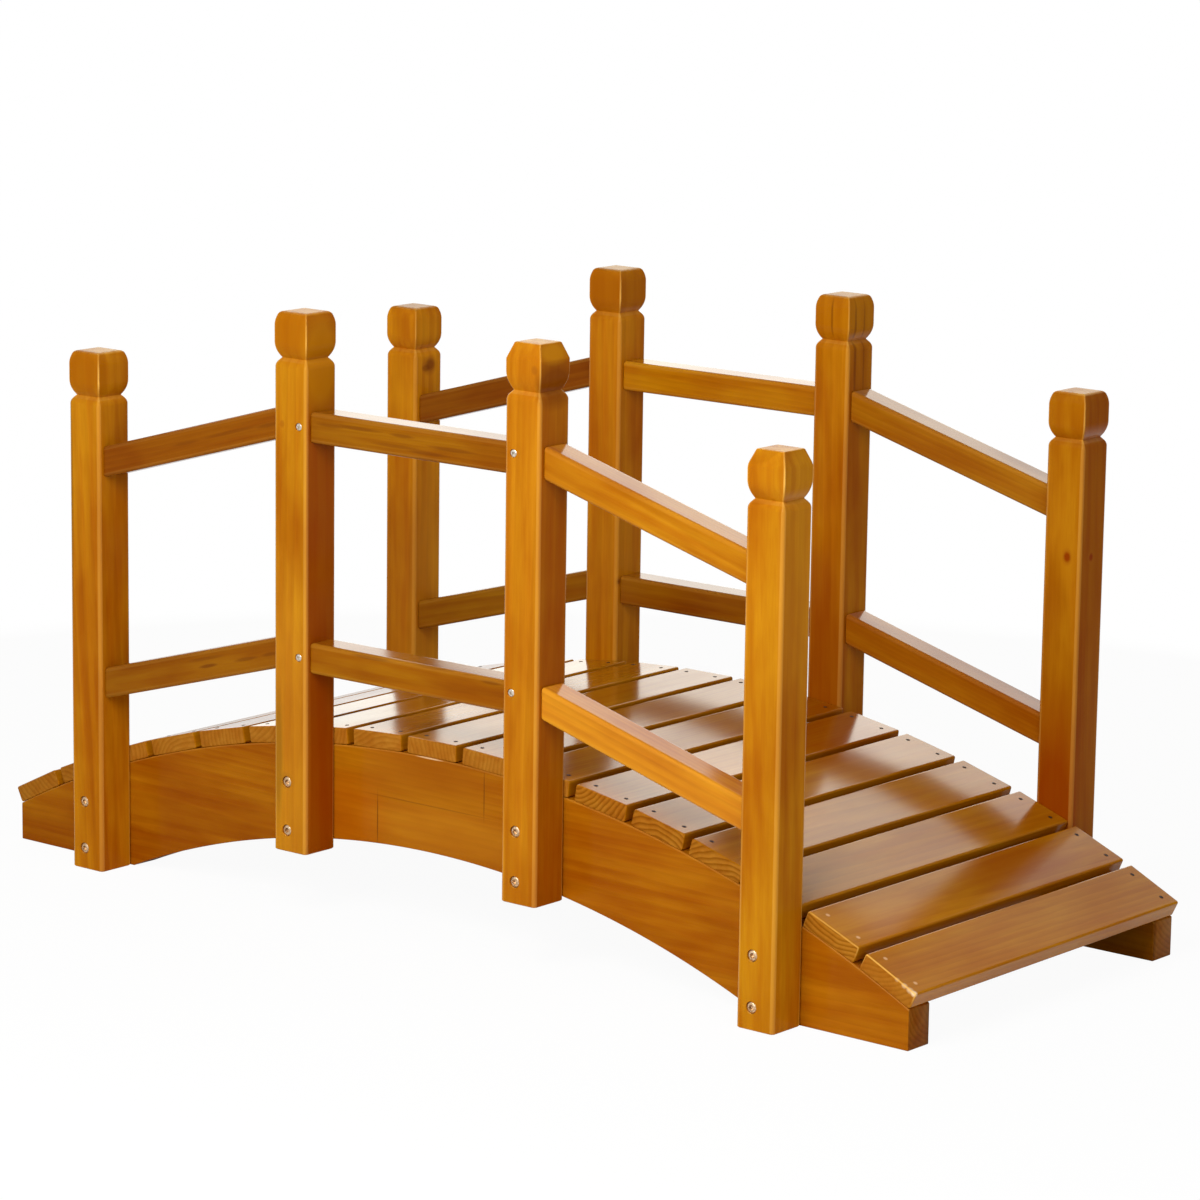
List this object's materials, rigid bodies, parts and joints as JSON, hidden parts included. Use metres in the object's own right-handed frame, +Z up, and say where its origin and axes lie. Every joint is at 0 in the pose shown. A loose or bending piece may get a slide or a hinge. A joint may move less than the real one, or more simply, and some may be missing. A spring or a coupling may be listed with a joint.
{
  "type": "moon bridge",
  "caption": "Small arched garden footbridge of stained, varnished softwood: plank deck on arch beams, square posts with knob caps, and upper and lower side rails.",
  "frame": {"origin": "on the ground, at the middle of the bridge's footprint", "axes": "+X along the bridge, +Y across it, +Z up"},
  "size_m": [1.5176, 0.679, 0.788],
  "materials": {
    "beam_wood": "stained and varnished softwood",
    "deck_wood": "stained and varnished softwood",
    "post_wood": "stained and varnished softwood",
    "rail_wood": "stained and varnished softwood"
  },
  "bodies": {
    "root": {"arch_beam_left": "beam_wood", "arch_beam_right": "beam_wood", "deck_board_01": "deck_wood", "deck_board_02": "deck_wood", "deck_board_03": "deck_wood", "deck_board_04": "deck_wood", "deck_board_05": "deck_wood", "deck_board_06": "deck_wood", "deck_board_07": "deck_wood", "deck_board_08": "deck_wood", "deck_board_09": "deck_wood", "deck_board_10": "deck_wood", "deck_board_11": "deck_wood", "deck_board_12": "deck_wood", "deck_board_13": "deck_wood", "deck_board_14": "deck_wood", "deck_board_15": "deck_wood", "deck_board_16": "deck_wood", "deck_board_17": "deck_wood", "post_left_1": "post_wood", "post_left_2": "post_wood", "post_left_3": "post_wood", "post_left_4": "post_wood", "post_right_1": "post_wood", "post_right_2": "post_wood", "post_right_3": "post_wood", "post_right_4": "post_wood", "rail_left_lower_1": "rail_wood", "rail_left_lower_2": "rail_wood", "rail_left_lower_3": "rail_wood", "rail_left_upper_1": "rail_wood", "rail_left_upper_2": "rail_wood", "rail_left_upper_3": "rail_wood", "rail_right_lower_1": "rail_wood", "rail_right_lower_2": "rail_wood", "rail_right_lower_3": "rail_wood", "rail_right_upper_1": "rail_wood", "rail_right_upper_2": "rail_wood", "rail_right_upper_3": "rail_wood"}
  },
  "joints": []
}
